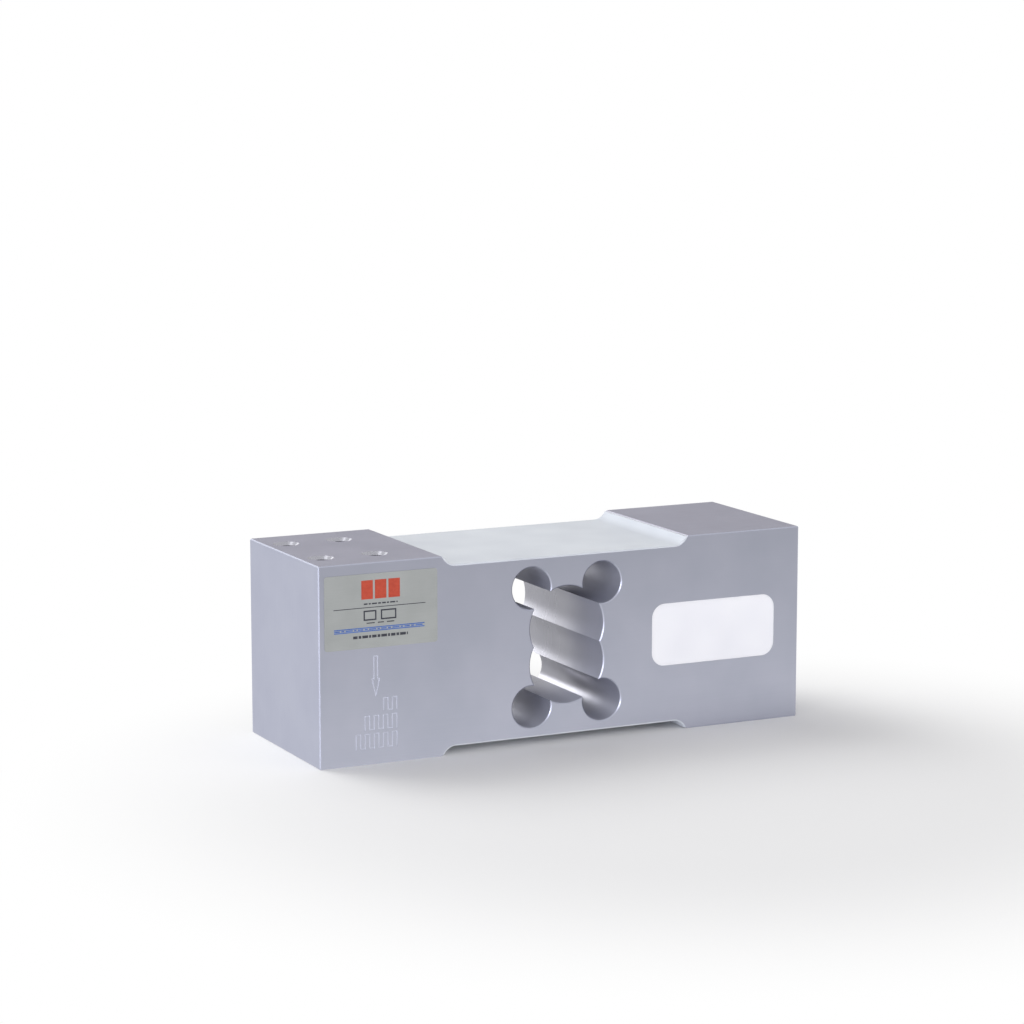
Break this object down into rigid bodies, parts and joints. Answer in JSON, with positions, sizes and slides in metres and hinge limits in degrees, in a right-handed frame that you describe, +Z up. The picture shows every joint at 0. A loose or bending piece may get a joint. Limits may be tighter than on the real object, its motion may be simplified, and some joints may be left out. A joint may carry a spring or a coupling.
{
  "type": "single point load cell",
  "caption": "Rectangular aluminium bar with a window of overlapping bores that form four thin flexures, sealed gauge troughs, a potted side pocket and tapped end pads.",
  "frame": {"origin": "centre of the bar's footprint, on the plane that its lower pads rest on", "axes": "+X along the bar, from the load end towards the fixed end with the cable inlet; +Z up, from the fixed end's mounting side to the load end's; -Y is the side with the potted pocket and the plate"},
  "size_m": [0.15, 0.0501, 0.056],
  "materials": {
    "machined_aluminium": "fine machined, clear anodised",
    "gauge_coat_silicone": "matte cast silicone",
    "potting_silicone": "satin cast silicone",
    "plate_foil": "satin foil",
    "bush_rubber": "matte",
    "gauge_film": "clear amber film",
    "gauge_foil": "etched foil",
    "wire_enamel": "enamelled copper",
    "sleeve_plastic": "matte",
    "board_laminate": "solder mask",
    "tape_foam": "matte foam",
    "chip_ceramic": "matte",
    "solder": "tinned"
  },
  "bodies": {
    "root": {"beam_body": "machined_aluminium", "gauge_coat_upper": "gauge_coat_silicone", "gauge_coat_lower": "gauge_coat_silicone", "pocket_potting": "potting_silicone", "nameplate": "plate_foil", "cable_bush": "bush_rubber", "gauge_carrier_upper_left": "gauge_film", "gauge_grid_upper_left": "gauge_foil", "gauge_carrier_upper_right": "gauge_film", "gauge_grid_upper_right": "gauge_foil", "lead_wires_upper": "wire_enamel", "wire_sleeve_upper": "sleeve_plastic", "gauge_carrier_lower_left": "gauge_film", "gauge_grid_lower_left": "gauge_foil", "gauge_carrier_lower_right": "gauge_film", "gauge_grid_lower_right": "gauge_foil", "lead_wires_lower": "wire_enamel", "wire_sleeve_lower": "sleeve_plastic", "compensation_board": "board_laminate", "board_tape": "tape_foam", "gauge_solder_pads": "solder", "cable_solder_pads": "solder", "trim_resistor_1": "chip_ceramic", "trim_resistor_2": "chip_ceramic", "trim_resistor_3": "chip_ceramic", "trim_resistor_4": "chip_ceramic"}
  },
  "joints": []
}
